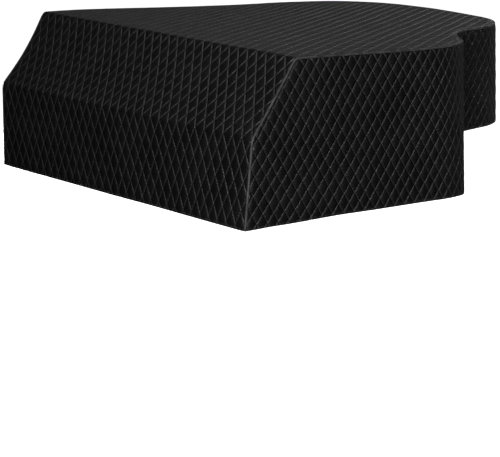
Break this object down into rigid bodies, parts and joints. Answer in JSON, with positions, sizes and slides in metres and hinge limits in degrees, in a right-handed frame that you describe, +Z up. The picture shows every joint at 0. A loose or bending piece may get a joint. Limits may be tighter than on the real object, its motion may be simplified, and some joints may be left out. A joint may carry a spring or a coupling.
{
  "type": "quilted grand piano cover",
  "caption": "Black diamond-quilted fitted cover for a baby grand piano, hollow and open below, with a sloped front, straight skirts and a shorter tail.",
  "frame": {"origin": "On the underside of the lid cloth, half-way across the cover's width and half-way along it, where the piano's closed lid holds the cover up.", "axes": "+Z up. +Y from the keyboard end to the tail. +X from the bass side, with the straight spine, to the treble side, with the bent side."},
  "size_m": [1.5129, 1.585, 0.5438],
  "materials": {
    "quilted_cloth": "matt black quilted cloth, puffed diamonds between stitched grooves",
    "piping_cloth": "matt black cloth over a thin cord, a little lighter along its crest"
  },
  "bodies": {
    "root": {"top_panel": "quilted_cloth", "treble_skirt": "quilted_cloth", "tail_skirt": "quilted_cloth", "spine_skirt": "quilted_cloth", "seam_cord": "piping_cloth"}
  },
  "joints": []
}
